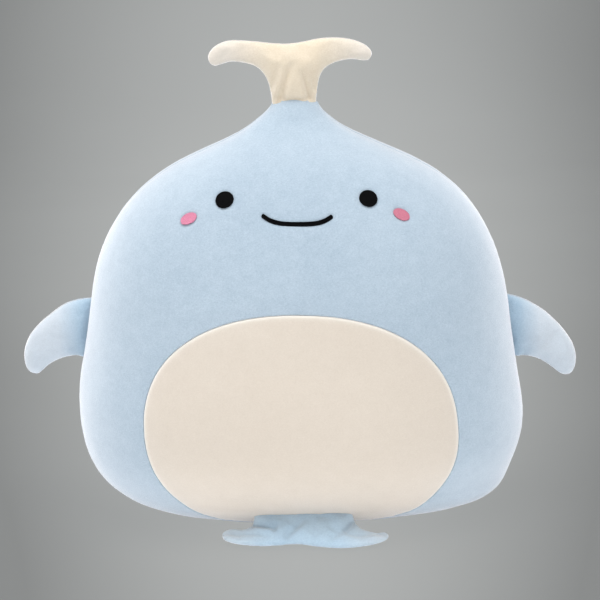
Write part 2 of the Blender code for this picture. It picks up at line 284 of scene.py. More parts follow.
def plushCloth(name, colour, shadow, sheenTint, tips=None, edge=None):
    # short pile: fine fibres, small tufts, and patches where the nap lies another way;
    # tips: painted light, a paler tone taken between two distances from the middle that stands in for sheen on a
    # limb's outer parts, while the inner parts keep a deeper tone as painted shade;
    # edge: a painted highlight, the paler tone of the pile catching light along a seam
    material, shader = newMaterial(name, {**plush["finish"], "Sheen Tint": (*sheenTint, 1)})
    coordinate = nodeOf(material, "ShaderNodeTexCoord").outputs["Object"]
    fields, tones = {}, []
    for key in ("fibres", "tufts", "nap", "patches"):
        pattern, reach = plush[key]
        fields[key] = noiseAt(material, coordinate, *pattern)
        tones.append(ranged(material, fields[key], -reach, reach))
    tone = mathOf(material, "ADD", *tones, plush["middleTone"])
    tinted = mixed(material, tone, shadow, colour)
    if tips:
        split = nodeOf(material, "ShaderNodeSeparateXYZ")
        join(material, coordinate, split.inputs[0])
        aside = mathOf(material, "ABSOLUTE", split.outputs["X"], 0)
        # painted sheen: the paler tone of the outer parts
        sheenPaleTone = mixed(material, tone, tuple(part * plush["tipShadow"] for part in tips["colour"]), tips["colour"])
        tinted = mixed(material, ranged(material, aside, 0, 1, tips["from"], tips["to"]), tinted, sheenPaleTone)
    if edge:
        # painted highlight along the seam
        seamHighlightShare = nodeOf(material, "ShaderNodeAttribute", attribute_name="seamHighlight").outputs["Fac"]
        tinted = mixed(material, seamHighlightShare, tinted, edge)
    join(material, tinted, shader.inputs["Base Color"])
    low = bumped(material, fields["tufts"], *plush["tuftBump"])
    join(material, bumped(material, fields["fibres"], *plush["pileBump"], low), shader.inputs["Normal"])
    return material


satin = {
    "threadsPerMetre": 2400.0,
    "waveShare": 3.18,  # bands in one unit of the wave's scale
    "waves": {"Distortion": 0.8, "Detail": 1.0, "Detail Scale": 0.4},
    "fibres": (2600.0, 2.0, 0.6, (1, 0.15, 1)),
    "threadTone": (0.0, 0.7),
    "fibreTone": (-0.15, 0.3),
    "bump": (0.6, 0.0003),
}


def satinStitch(name, colour, highlight, roughness, specular):
    # threads laid side by side along V of the piece's own pattern
    material, shader = newMaterial(name, {"Roughness": roughness, "Specular IOR Level": specular})
    pattern = nodeOf(material, "ShaderNodeUVMap", uv_map="pattern").outputs["UV"]
    waves = nodeOf(material, "ShaderNodeTexWave", wave_type="BANDS", bands_direction="X")
    waves.inputs["Scale"].default_value = satin["threadsPerMetre"] / satin["waveShare"]
    for socket, value in satin["waves"].items():
        waves.inputs[socket].default_value = value
    join(material, pattern, waves.inputs["Vector"])
    fibres = noiseAt(material, pattern, *satin["fibres"])
    threadTone = ranged(material, waves.outputs["Fac"], *satin["threadTone"], 0.0, 1.0)
    tone = mathOf(material, "ADD", threadTone, ranged(material, fibres, *satin["fibreTone"]))
    join(material, mixed(material, tone, colour, highlight), shader.inputs["Base Color"])
    join(material, bumped(material, waves.outputs["Fac"], *satin["bump"]), shader.inputs["Normal"])
    return material


fibre = {"strands": (260.0, 5.0, 0.7, (1.0, 0.35, 1.0)), "shadow": 0.8, "bump": (0.7, 0.002)}


def looseFibre(name, colour):
    material, shader = newMaterial(name, {"Roughness": 0.95, "Sheen Weight": 0.4})
    coordinate = nodeOf(material, "ShaderNodeTexCoord").outputs["Object"]
    strands = noiseAt(material, coordinate, *fibre["strands"])
    shadow = tuple(part * fibre["shadow"] for part in colour)
    tinted = mixed(material, ranged(material, strands, 0.0, 1.0), shadow, colour)
    join(material, tinted, shader.inputs["Base Color"])
    join(material, bumped(material, strands, *fibre["bump"]), shader.inputs["Normal"])
    return material


bluePlush = plushCloth("bluePlush", (0.462, 0.553, 0.634), (0.320, 0.408, 0.495), (1.0, 0.975, 0.99))
# painted shade and sheen: the flipper is a deeper blue by its root, standing in for the shade between flipper and
# body, and paler beyond, standing in for sheen
flipperPlush = plushCloth(
    "flipperPlush", (0.435, 0.558, 0.665), (0.315, 0.435, 0.545), (1.0, 0.975, 0.99),
    {"from": 0.203, "to": 0.224, "colour": (0.580, 0.640, 0.705)},
)
# painted shade and sheen: the tail keeps a deeper blue in its middle, under the belly, and its lobes take a whiter
# tone standing in for sheen
tailPlush = plushCloth(
    "tailPlush", (0.522, 0.670, 0.797), (0.396, 0.540, 0.670), (1.0, 0.985, 1.0),
    {"from": 0.030, "to": 0.068, "colour": (0.555, 0.650, 0.735)},
)
# the edge tone is a painted highlight along the belly seam
creamPlush = plushCloth(
    "creamPlush", (0.675, 0.602, 0.522), (0.613, 0.539, 0.460), (1.0, 0.985, 1.0), edge=(0.800, 0.755, 0.690)
)
# painted shade and sheen: a second copy of the cream, yellower on the stem as painted shade among its creases, and
# paler on the lobes as painted sheen
spoutPlush = plushCloth(
    "spoutPlush", (0.772, 0.677, 0.542), (0.675, 0.568, 0.425), (1.0, 0.985, 1.0),
    {"from": 0.022, "to": 0.062, "colour": (0.775, 0.705, 0.622)},
)
blackSatin = satinStitch("blackSatinStitch", (0.001, 0.001, 0.0013), (0.0045, 0.0045, 0.0055), 0.55, 0.05)
# painted shade: the right cheek's thread is a darker copy of the pink, standing in for stitches that catch less
# light
shadedPinkSatin = satinStitch("shadedPinkSatinStitch", (0.56, 0.150, 0.235), (0.70, 0.270, 0.345), 0.5, 0.2)
pinkSatin = satinStitch("pinkSatinStitch", (0.66, 0.188, 0.318), (0.80, 0.322, 0.445), 0.5, 0.2)
fibreFill = looseFibre("polyesterFibre", (0.86, 0.86, 0.84))
print("materials made:", len(bpy.data.materials))

# Rings of height, width and depth shares from the middle of the base to the top seam. The first
# and last rings are turned over, so that the form closes there.
body = {
    "height": 0.3870,
    "width": 0.4100,
    "frontDepth": 0.1380,
    "backDepth": 0.1240,
    "baseCut": 0.0005,
    "cornerPower": 2.25,  # 2 is an ellipse, more is squarer
    "spokes": 16,
    # height, width to the left and to the right, depth; the last filling slumps to the right
    "rings": (
        (0.000, -0.350, -0.350, -0.260),
        (0.000, -0.120, -0.120, -0.090),
        (0.000, 0.120, 0.120, 0.090),
        (0.000, 0.350, 0.350, 0.260),
        (0.000, 0.552, 0.645, 0.420),
        (0.034, 0.796, 0.915, 0.645),
        (0.100, 0.947, 0.950, 0.800),
        (0.200, 1.008, 1.034, 0.974),
        (0.320, 1.018, 1.000, 0.992),
        (0.450, 0.960, 0.960, 0.920),
        (0.570, 0.935, 0.935, 0.875),
        (0.680, 0.877, 0.877, 0.782),
        (0.780, 0.753, 0.753, 0.638),
        (0.860, 0.565, 0.565, 0.485),
        (0.925, 0.243, 0.237, 0.206),
        (0.972, 0.147, 0.139, 0.115),
        (0.996, 0.104, 0.104, 0.060),
        (1.003, 0.100, 0.100, 0.000),
        (0.996, 0.104, 0.104, -0.060),
    ),
    "baseSeamHeight": 0.0060,
    "castCells": (200, 260),  # of the smooth front that points are dropped onto
    "neckStart": 0.372,
    "neckHalf": 0.0205,
    "neckRise": 0.0045,  # the seam under the spout is an arch, highest in its middle
    "shoulderDrop": 0.0012,
    "shoulderEnd": 1.6,
}
baseMiddle = 0.5  # where along the rings the base closes
topSeam = len(body["rings"]) - 3.0  # and where the top closes
rightSide, backMiddle, leftSide = (body["spokes"] * share for share in (0, 0.25, 0.5))


def bodyCage():
    spokes = body["spokes"]
    swell = 6 / (4 + 2 * math.cos(2 * math.pi / spokes))  # makes up for how a spline cuts corners
    power = 2 / body["cornerPower"]
    rows = []
    for height, left, right, depth in body["rings"]:
        row = []
        for spoke in range(spokes):
            angle = 2 * math.pi * spoke / spokes
            across = math.copysign(abs(math.cos(angle)) ** power, math.cos(angle))
            along = math.copysign(abs(math.sin(angle)) ** power, math.sin(angle))
            reach = body["frontDepth"] if along < 0 else body["backDepth"]
            x = across * (left if across < 0 else right) * swell * body["width"] / 2
            y = along * depth * swell * reach
            row.append((x, y, height * (body["height"] + body["baseCut"]) - body["baseCut"]))
        rows.append(row)
    return np.array(rows)


cage = bodyCage()


def splineWeights(t):
    return ((1 - t) ** 3 / 6, (3 * t**3 - 6 * t**2 + 4) / 6, (-3 * t**3 + 3 * t**2 + 3 * t + 1) / 6, t**3 / 6)


def bodyPoint(flat):
    # the form's surface at (spoke, ring) of its pattern
    spokes = body["spokes"]
    around, along = flat[:, 0], np.clip(flat[:, 1], 0, len(cage) - 3 - 1e-9)
    row, column = np.floor(along).astype(int), np.floor(around).astype(int)
    rowWeights, columnWeights = splineWeights(along - row), splineWeights(around - column)
    found = np.zeros((len(flat), 3))
    for i in range(4):
        for j in range(4):
            weight = (rowWeights[i] * columnWeights[j])[:, None]
            found += weight * cage[row + i, (column + j - 1) % spokes]
    nearTop = np.clip((found[:, 2] - body["neckStart"]) / (body["height"] - body["neckStart"]), 0, 1)
    aside = np.minimum((found[:, 0] / body["neckHalf"]) ** 2, body["shoulderEnd"])
    found[:, 2] += nearTop * (body["neckRise"] * np.maximum(1 - aside, 0) - body["shoulderDrop"] * aside)
    return found


def bodyNormal(flat):
    # the outward normal, from steps that stop short of where the form closes
    step = 0.01
    across = bodyPoint(flat + (step, 0, 0)) - bodyPoint(flat - (step, 0, 0))
    low = np.maximum(flat[:, 1] - step, baseMiddle + 0.02)
    high = np.minimum(low + 2 * step, topSeam - 0.02)
    below, above = flat.copy(), flat.copy()
    below[:, 1], above[:, 1] = np.minimum(low, high - step), high
    normal = np.cross(across, bodyPoint(above) - bodyPoint(below))
    size = np.linalg.norm(normal, axis=1)
    normal[size < 1e-12] = (0, 0, -1)
    return normal / np.maximum(np.linalg.norm(normal, axis=1), 1e-12)[:, None]


def baseSeamRing():
    # the place along the rings where the form reaches the base seam's height
    low, high = 2.0, 5.0
    for _ in range(40):
        middle = (low + high) / 2
        if bodyPoint(np.array([[0.0, middle, 0.0]]))[0, 2] < body["baseSeamHeight"]:
            low = middle
        else:
            high = middle
    return low


baseSeam = baseSeamRing()


def bodyLine(start, end, count):
    share = np.linspace(0, 1, count)[:, None]
    flat = np.array(start) * (1 - share) + np.array(end) * share
    return bodyPoint(np.c_[flat, np.zeros(count)])


# The belly patch and the face are drawn as seen from straight ahead, then laid on the front.
belly = {
    "width": 0.2840,
    "height": 0.2240,
    "centre": (0.0, 0.1080),
    "cornerPower": 2.2,
    "uneven": (0.995, -0.012, -0.016),  # the sewn patch is not quite even
}
face = {
    "eyes": {"left": (-0.0640, 0.3119), "right": (0.0632, 0.3108)},
    "eyeSize": (0.0162, 0.0125),
    "eyeTilt": math.radians(18),
    "cheeks": {"left": (-0.0962, 0.2957), "right": (0.0924, 0.2962)},
    "cheekSize": (0.0153, 0.0078),
    "cheekTilt": math.radians(26),
    "mouthThread": 0.0032,
    "mouthSpan": 0.0296,  # middle to where an end rounds off
    "mouthRise": 0.0056,
    "mouthFlatness": 3.6,
    "mouthLow": 0.2931,
    "mouthLean": -0.026,
    "above": 0.26,  # all stitching is above this height and before this depth
    "before": -0.02,
    "rise": 0.0004,
    "sink": 0.0009,
    "crown": 0.55,
    "mouthCrown": 1.6,
    "threadThickness": 0.0008,
    "tuck": 0.0008,
    "halo": 0.0030,
    "ovalCell": 0.0006,
    "mouthCell": 0.0005,
    "ovalRoom": 0.0008,  # what the pattern keeps round an outline before it is cut
    "mouthRoom": 0.0006,
}


def unevenShare(angle, uneven):
    # how far an oval's outline stands out at an angle
    return uneven[0] + uneven[1] * np.sin(angle) + uneven[2] * np.sin(2 * angle)


def ovalSide(point, width, height, centre, power=2.0, tilt=0.0, uneven=(1, 0, 0)):
    # below zero inside an oval, and about the distance from it in metres
    x, z = point[:, 0] - centre[0], point[:, -1] - centre[1]
    across = (x * math.cos(tilt) + z * math.sin(tilt)) / (width / 2)
    up = (z * math.cos(tilt) - x * math.sin(tilt)) / (height / 2)
    share = (np.abs(across) ** power + np.abs(up) ** power) ** (1 / power)
    return (share / unevenShare(np.arctan2(up, across), uneven) - 1) * min(width, height) / 2


def ovalLine(width, height, centre, power=2.0, tilt=0.0, uneven=(1, 0, 0), count=720):
    angle = np.linspace(0, 2 * math.pi, count, endpoint=False)
    across = np.copysign(np.abs(np.cos(angle)) ** (2 / power), np.cos(angle))
    up = np.copysign(np.abs(np.sin(angle)) ** (2 / power), np.sin(angle))
    share = unevenShare(np.arctan2(up, across), uneven)
    across, up = across * share * width / 2, up * share * height / 2
    x = centre[0] + across * math.cos(tilt) - up * math.sin(tilt)
    z = centre[1] + across * math.sin(tilt) + up * math.cos(tilt)
    return np.c_[x, z]


def mouthPlace(along, across):
    # a point of the smile from the distance along it and across it
    span, rise, power = face["mouthSpan"], face["mouthRise"], face["mouthFlatness"]
    inner = np.minimum(np.abs(along), span)
    beyond = np.abs(along) - inner
    lean = np.arctan(power * rise / span * (inner / span) ** (power - 1))
    x = np.copysign(inner + beyond * np.cos(lean) - across * np.sin(lean), along)
    z = rise * (inner / span) ** power + beyond * np.sin(lean) + across * np.cos(lean)
    return np.c_[x, face["mouthLow"] + z + face["mouthLean"] * x]


def frontTree():
    # the smooth front, to drop a point onto it from straight ahead
    bm = flatGrid((leftSide, baseMiddle + 0.3), (2 * leftSide, topSeam), body["castCells"])
    placeVerts(bm, bodyPoint(vertArray(bm)))
    tree = BVHTree.FromBMesh(bm)
    bm.free()
    return tree


front = frontTree()


def dropOnFront(places):
    # points and outward normals of the front at (x, z), or of its nearest place where a ray goes past it
    points, normals = [], []
    for x, z in places:
        hit, normal, _, _ = front.ray_cast(Vector((x, -0.4, z)), Vector((0, 1, 0)))
        if hit is None:
            hit, normal, _, _ = front.find_nearest(Vector((x, -0.05, z)))
        points.append(hit)
        normals.append(normal if normal.y < 0 else -normal)
    return np.array(points), np.array(normals)


def ovalSeam(oval, count):
    return measureTo(dropOnFront(ovalLine(*oval, count=count))[0], closed=True)


bellyOval = (belly["width"], belly["height"], belly["centre"], belly["cornerPower"], 0, belly["uneven"])
bellySeam = ovalSeam(bellyOval, 1400)
sideSeams = [measureTo(bodyLine((side, baseSeam), (side, topSeam), 900)) for side in (leftSide, 2 * leftSide)]
backSeam = measureTo(bodyLine((backMiddle, baseSeam), (backMiddle, topSeam), 900))
baseRing = measureTo(bodyLine((0, baseSeam), (body["spokes"], baseSeam), 1400))
stitched = {}
for side, sign in (("left", -1), ("right", 1)):
    stitched["eye_" + side] = (*face["eyeSize"], face["eyes"][side], 2.0, -sign * face["eyeTilt"])
    stitched["cheek_" + side] = (*face["cheekSize"], face["cheeks"][side], 2.0, -sign * face["cheekTilt"])
mouthSteps = np.linspace(-face["mouthSpan"], face["mouthSpan"], 300)
mouthLine = measureTo(dropOnFront(mouthPlace(mouthSteps, np.zeros(300)))[0])
outlineOf = {name: ovalSeam(oval, 160) for name, oval in stitched.items()}


def stitchGap(points):
    # the distance to the nearest stitching, or a metre where there is none near
    gap = np.full(len(points), 1.0)
    near = (points[:, 2] > face["above"]) & (points[:, 1] < face["before"])
    close = points[near]
    if len(close):
        best = np.maximum(mouthLine(close)[0] - face["mouthThread"] / 2, 0)
        for name, oval in stitched.items():
            best = np.minimum(best, np.where(ovalSide(close, *oval) < 0, 0, outlineOf[name](close)[0]))
        gap[near] = best
    return gap


def faceDip(points):
    # the cloth is drawn down round and under the stitching
    return -face["tuck"] * np.exp(-((stitchGap(points) / face["halo"]) ** 2) * 2)


sewing = {
    "steps": 20,
    "cloth": {
        "quality": 6, "mass": 0.3, "tension_stiffness": 18, "compression_stiffness": 18, "shear_stiffness": 8,
        "bending_stiffness": 0.6, "air_damping": 2, "use_pressure": True, "vertex_group_mass": "sewn",
    },
    "seamHold": 0.006,  # how far the seam holds the cloth beside it
    "limbGrowth": 0.020,  # how much larger the cloth is cut than the form it covers
    "limbPressure": 3.0,
    "limbIn": 0.0007,
    "limbOut": 0.0018,
    "bodyCells": (120, 84),
    "bodyGrowth": 0.012,
    "bodyPressure": 4.0,
    "bodyReach": 0.0014,
    "bodySoftness": 1.5,
    "bodyPinned": (0.004, 0.372),  # the cloth is held below and above these heights
    "lowFade": 0.020,
    "highFade": (0.352, 0.040),
    "smoothing": 0.008,
    "neighbours": 10,
}


def swelling(bm, pinned, growth, pressure):
    # cloth simulation: how each point moves when the fibre inside presses the cloth out from its seams
    rest = vertArray(bm)
    mesh = bpy.data.meshes.new("pressed")
    bm.to_mesh(mesh)
    tried = addObject("pressed", mesh)
    tried.vertex_groups.new(name="sewn").add([int(index) for index in np.flatnonzero(pinned)], 1.0, "REPLACE")
    cloth = tried.modifiers.new("cloth", "CLOTH")
    for key, value in sewing["cloth"].items():
        setattr(cloth.settings, key, value)
    cloth.settings.uniform_pressure_force = pressure
    cloth.settings.shrink_min = cloth.settings.shrink_max = -growth
    cloth.settings.effector_weights.gravity = 0
    cloth.collision_settings.use_collision = False
    cloth.point_cache.frame_start, cloth.point_cache.frame_end = 1, sewing["steps"]
    for step in range(1, sewing["steps"] + 1):
        bpy.context.scene.frame_set(step)
    settled = tried.evaluated_get(bpy.context.evaluated_depsgraph_get()).to_mesh()
    moved = np.empty(len(rest) * 3)
    settled.vertices.foreach_get("co", moved)
    bpy.data.objects.remove(tried)
    bpy.data.meshes.remove(mesh)
    bpy.context.scene.frame_set(1)
    return moved.reshape(-1, 3) - rest


def heldIn(move, bm, inward, outward):
    # a movement kept along the surface's normal and inside its limits
    normals = np.array([vert.normal for vert in bm.verts])
    along = np.sum(move * normals, 1)
    out = outward * np.tanh(np.maximum(along, 0) / outward)
    back = inward * np.tanh(-np.minimum(along, 0) / inward)
    return normals * (out - back)[:, None]


def bodySwelling():
    # the whole cover pressed out at once on a coarse grid, to be read at any point of the form
    bm = flatGrid((0, baseMiddle), (body["spokes"], topSeam), sewing["bodyCells"])
    placeVerts(bm, bodyPoint(vertArray(bm)))
    bmesh.ops.remove_doubles(bm, verts=bm.verts, dist=0.0002)
    bmesh.ops.recalc_face_normals(bm, faces=bm.faces)
    bm.normal_update()
    bm.verts.index_update()
    points = vertArray(bm)
    height = points[:, 2]
    low, high = sewing["bodyPinned"]
    pinned = (height < low) | (height > high)
    move = swelling(bm, pinned, sewing["bodyGrowth"], sewing["bodyPressure"])
    outward = np.sum(move * np.array([vert.normal for vert in bm.verts]), 1)
    bm.free()
    # only the unevenness counts: the form already holds how full the toy is
    outward -= np.median(outward[~pinned])
    outward = sewing["bodyReach"] * np.tanh(outward / sewing["bodyReach"] / sewing["bodySoftness"])
    top, fade = sewing["highFade"]
    outward *= np.clip((top - height) / fade, 0, 1) * np.clip((height - low) / sewing["lowFade"], 0, 1)
    tree = treeOf(points)

    def at(places):
        found = np.zeros(len(places))
        for row, place in enumerate(places):
            near = tree.find_n(place, sewing["neighbours"])
            weights = [math.exp(-((gap / sewing["smoothing"]) ** 2)) + 1e-9 for _, _, gap in near]
            found[row] = sum(w * outward[index] for w, (_, index, _) in zip(weights, near)) / sum(weights)
        return found

    print("body cover pressed out by", round(float(np.abs(outward).max()) / mm, 2), "mm at most")
    return at


pressedOut = bodySwelling()
cover = {
    "thickness": 0.0012,
    "fill": 0.85,
    "unevenness": ((0.045, 3.1, 0.0007), (0.016, 7.7, 0.0002)),  # size, seed and height
    "seamCells": (0.0075, 0.0035),  # the cloth's cells are halved within each distance of a seam
    "faceCells": 0.006,
    "weld": 0.0015,
    "roll": 0.0022,
    "rollDepth": 0.0013,
    "sink": 0.0007,  # and the cloth slopes down towards a seam
    "sinkReach": 0.009,
    "gatherDepth": 0.00013,
    "gatherReach": 0.010,
    "gatherStart": 0.003,
    # how far the painted seam highlight reaches from the seam
    "seamHighlightReach": 0.0026,
    "neckSmooth": (0.0015, 0.010),
}


def coverRelief(points):
    # how far the sewn cover stands off its smooth form
    relief = sum(softNoise(points, size, seed) * height for size, seed, height in cover["unevenness"])
    return relief + pressedOut(points)


def seamPucker(distance, along, count):
    # small gathers square to a seam
    ripple = np.sin(along * 2 * math.pi * count + 2.5 * np.sin(along * 2 * math.pi * 7 + count))
    near = np.exp(-((distance / cover["gatherReach"]) ** 2))
    return cover["gatherDepth"] * ripple * near * np.clip(distance / cover["gatherStart"], 0, 1)


def bodyPanel(name, node, low, high, cells, seams, keep, cloth, slotName):
    bm = flatGrid(low, high, cells)
    hasFace = node == "face_panel"
    for reach in cover["seamCells"]:
        refineNear(bm, lambda flat: np.min([seam(bodyPoint(flat))[0] for seam, _ in seams], 0), reach)
    if hasFace:
        refineNear(bm, lambda flat: stitchGap(bodyPoint(flat)), cover["faceCells"])
    for side in keep:
        cutAlong(bm, side, cover["weld"])
    flat = vertArray(bm)
    points, normals = bodyPoint(flat), bodyNormal(flat)
    offset = coverRelief(points)
    toFirst = seams[0][0](points)[0]
    for seam, gathers in seams:
        distance, along = seam(points)
        offset += rolledEdge(distance, cover["roll"], cover["rollDepth"])
        offset -= cover["sink"] * np.exp(-((distance / cover["sinkReach"]) ** 2))
        offset += seamPucker(distance, along, gathers)
    if hasFace:
        offset += faceDip(points)
    # the neck is drawn in tight, so it stays smooth up to the seam under the spout
    gap, fade = cover["neckSmooth"]
    offset *= np.clip((body["height"] - gap - points[:, 2]) / fade, 0, 1)
    points = points + normals * offset[:, None]
    points[:, 2] = np.maximum(points[:, 2], 0.0)
    placeVerts(bm, points)
    # painted highlight: the share of the paler tone, falling off with distance from the first seam
    seamHighlightShare = bm.verts.layers.float.new("seamHighlight")
    for vert, gap in zip(bm.verts, toFirst):
        vert[seamHighlightShare] = math.exp(-((gap / cover["seamHighlightReach"]) ** 2))
    bmesh.ops.remove_doubles(bm, verts=bm.verts, dist=0.00002)
    bm.verts.index_update()
    makePiece(name, bm, cloth, node, "body", cover["thickness"])


# each seam with the number of its gathers
bellyEdge, baseEdge, backEdge = (bellySeam, 96), (baseRing, 110), (backSeam, 60)
sideEdges = [(seam, 70) for seam in sideSeams]
frontPart = ((leftSide, baseSeam), (2 * leftSide, topSeam), (168, 156))
outsideBelly = lambda flat: -ovalSide(bodyPoint(flat), *bellyOval)
insideBelly = lambda flat: ovalSide(bodyPoint(flat), *bellyOval)
blue, cream = (bluePlush, "blue_plush"), (creamPlush, "cream_plush")
bodyPanel("facePanel", "face_panel", *frontPart, [bellyEdge, *sideEdges, baseEdge], [outsideBelly], *blue)
bodyPanel("bellyPanel", "belly_panel", *frontPart, [bellyEdge, baseEdge], [insideBelly], *cream)
for side, low, high in (("Right", rightSide, backMiddle), ("Left", backMiddle, leftSide)):
    span = ((low, baseSeam), (high, topSeam), (70, 140))
    bodyPanel("backPanel" + side, "back_panel_" + side.lower(), *span, [*sideEdges, backEdge, baseEdge], [], *blue)
basePart = ((0, baseMiddle), (body["spokes"], baseSeam), (256, 40))
bodyPanel("basePanel", "base_panel", *basePart, [baseEdge], [], *blue)
print("body panels made")

stuffing = {
    "cells": (96, 110),
    "inside": 0.0042,  # how far it lies within the form
    "unevenness": (0.03, 1.3, 0.0012),
    "bottom": 0.0022,
    "underTop": 0.006,
    "fill": 0.9,
}


def bodyStuffing():
    bm = flatGrid((0, baseMiddle), (body["spokes"], topSeam), stuffing["cells"])
    flat = vertArray(bm)
    points, normals = bodyPoint(flat), bodyNormal(flat)
    size, seed, height = stuffing["unevenness"]
    offset = softNoise(points, size, seed) * height - stuffing["inside"]
    points = points + normals * offset[:, None]
    points[:, 2] = np.clip(points[:, 2], stuffing["bottom"], body["height"] - stuffing["underTop"])
    placeVerts(bm, points)
    bmesh.ops.remove_doubles(bm, verts=bm.verts, dist=0.0002)
    bm.verts.index_update()
    makePiece("bodyFilling", bm, fibreFill, "body_filling", "body")


bodyStuffing()


def stitchPatch(name, node, side, size, cell, placeOn, material, halfWidth):
    # a raised patch of satin stitch, cut from a flat pattern of half-size size and laid on the front
    low, high = tuple(-reach for reach in size), size
    bm = flatGrid(low, high, [max(4, round((b - a) / cell)) for a, b in zip(low, high)])
    cutAlong(bm, side, cell / 12)
    flat = vertArray(bm)
    inward = np.clip(-side(flat) / (halfWidth * face["crown"]), 0, 1)
    points, normals = placeOn(flat)
    lift = face["rise"] * np.sqrt(1 - (1 - inward) ** 2) - face["sink"]
    placeVerts(bm, points + normals * (lift + coverRelief(points))[:, None])
    bm.normal_update()
    if sum(part.normal.y for part in bm.faces) > 0:
        bmesh.ops.reverse_faces(bm, faces=bm.faces)
    makePiece(name, bm, material, node, "body", face["threadThickness"], flat[:, :2])


def ovalPatch(name, node, material):
    width, height, centre, _, tilt = stitched[node]
    turn = lambda flat: np.c_[
        centre[0] + flat[:, 0] * math.cos(tilt) - flat[:, 1] * math.sin(tilt),
        centre[1] + flat[:, 0] * math.sin(tilt) + flat[:, 1] * math.cos(tilt),
    ]
    side = lambda flat: ovalSide(flat[:, :2], width, height, (0, 0))
    size = (width / 2 + face["ovalRoom"], height / 2 + face["ovalRoom"])
    placeOn = lambda flat: dropOnFront(turn(flat))
    stitchPatch(name, node, side, size, face["ovalCell"], placeOn, material, height / 2)


for side, cheekSatin in (("left", pinkSatin), ("right", shadedPinkSatin)):
    ovalPatch("eye" + side.title(), "eye_" + side, blackSatin)
    ovalPatch("cheek" + side.title(), "cheek_" + side, cheekSatin)


def smile():
    half, span, room, crown = face["mouthThread"] / 2, face["mouthSpan"], face["mouthRoom"], face["mouthCrown"]

    def side(flat):
        past = np.maximum(np.abs(flat[:, 0]) - span, 0)
        return np.hypot(past, flat[:, 1]) - half

    placeOn = lambda flat: dropOnFront(mouthPlace(flat[:, 0], flat[:, 1]))
    size = (span + half + room, half + room)
    stitchPatch("mouth", "mouth", side, size, face["mouthCell"], placeOn, blackSatin, half * crown)


smile()
print("embroidery made")


def smoothOutline(points, step):
    # a closed curve through the points, except that the first and last stay corners
    points = np.array(points, float) * mm
    padded = np.vstack([2 * points[0] - points[1], points, 2 * points[-1] - points[-2]])
    made = []
    for i in range(1, len(padded) - 2):
        p0, p1, p2, p3 = padded[i - 1 : i + 3]
        square, cube = 2 * p0 - 5 * p1 + 4 * p2 - p3, 3 * p1 - p0 - 3 * p2 + p3
        count = max(2, int(np.linalg.norm(p2 - p1) / step))
        for t in np.arange(count) / count:
            made.append(0.5 * (2 * p1 + (p2 - p0) * t + square * t**2 + cube * t**3))
    made.append(points[-1])
    count = max(2, int(np.linalg.norm(points[-1] - points[0]) / step))
    for t in np.arange(1, count) / count:
        made.append(points[-1] + (points[0] - points[-1]) * t)
    return np.array(made)


def insideOutline(outline, points):
    inside = np.zeros(len(points), bool)
    ends = np.roll(outline, -1, 0)
    for (x0, y0), (x1, y1) in zip(outline, ends):
        if y0 == y1:
            continue
        spans = (points[:, 1] < y0) != (points[:, 1] < y1)
        inside ^= spans & (points[:, 0] < (x1 - x0) * (points[:, 1] - y0) / (y1 - y0) + x0)
    return inside


def membrane(bm, fixed):
    # how high a skin pinned at fixed points stands under an even push, over a flat pattern
    points = vertArray(bm)[:, :2]
    tris = []
    for part in bm.faces:
        corners = [vert.index for vert in part.verts]
        tris += [(corners[0], corners[i], corners[i + 1]) for i in range(1, len(corners) - 1)]
    tris = np.array(tris)
    a, b, c = (points[tris[:, i]] for i in range(3))
    area = 0.5 * ((b[:, 0] - a[:, 0]) * (c[:, 1] - a[:, 1]) - (b[:, 1] - a[:, 1]) * (c[:, 0] - a[:, 0]))
    good = np.abs(area) > 1e-14
    tris, a, b, c, area = tris[good], a[good], b[good], c[good], np.abs(area[good])
    # the spring of the skin over each triangle, with one row for each of its corners
    rises = [np.c_[q[:, 1] - r[:, 1], r[:, 0] - q[:, 0]] for q, r in ((b, c), (c, a), (a, b))]
    count = len(points)
    push = np.bincount(tris.ravel(), np.repeat(area / 3, 3), count)
    free = ~fixed

    def stiffness(field):
        out = np.zeros(count)
        for i in range(3):
            pull = sum(np.sum(rises[i] * rises[j], 1) * field[tris[:, j]] for j in range(3)) / (4 * area)
            out += np.bincount(tris[:, i], pull, count)
        return out * free

    # conjugate gradients, until what is left of the push is nothing
    field = np.zeros(count)
    left = push * free
    heading = left.copy()
    power = left @ left
    for _ in range(900):
        bent = stiffness(heading)
        size = power / max(heading @ bent, 1e-30)
        field += size * heading
        left -= size * bent
        fresh = left @ left
        if fresh < 1e-20 * (push @ push):
            break
        heading = left + heading * fresh / power
        power = fresh
    return np.sqrt(np.maximum(2 * field, 0))


def limbSheet(outline, cell):
    measure = measureTo(np.c_[outline, np.zeros(len(outline))], closed=True)
    sign = lambda flat: np.where(insideOutline(outline, flat[:, :2]), -1.0, 1.0)
    side = lambda flat: measure(np.c_[flat[:, :2], np.zeros(len(flat))])[0] * sign(flat)
    low, high = outline.min(0) - cell, outline.max(0) + cell
    bm = flatGrid(low, high, [round((b - a) / cell) for a, b in zip(low, high)])
    refineNear(bm, lambda flat: np.abs(side(flat)), cell * 1.6)
    return bm, side


def folded(height, wrinkle):
    # folds press the cloth in without ever reaching the seam's plane
    inward = height * np.exp(np.minimum(wrinkle, 0) / np.maximum(height, 0.0002))
    return inward + np.maximum(wrinkle, 0) * (height > 0.0004)


def crease(flat, start, end, width, depth):
    # a soft valley from start that fades towards end, in millimetres
    start, end = np.array(start) * mm, np.array(end) * mm
    run = end - start
    share = np.clip(((flat[:, :2] - start) @ run) / (run @ run), 0, 1)
    gap = np.linalg.norm(flat[:, :2] - start - share[:, None] * run, axis=1)
    return -depth * mm * np.exp(-((gap / (width * mm)) ** 2)) * (1 - share) ** 0.7


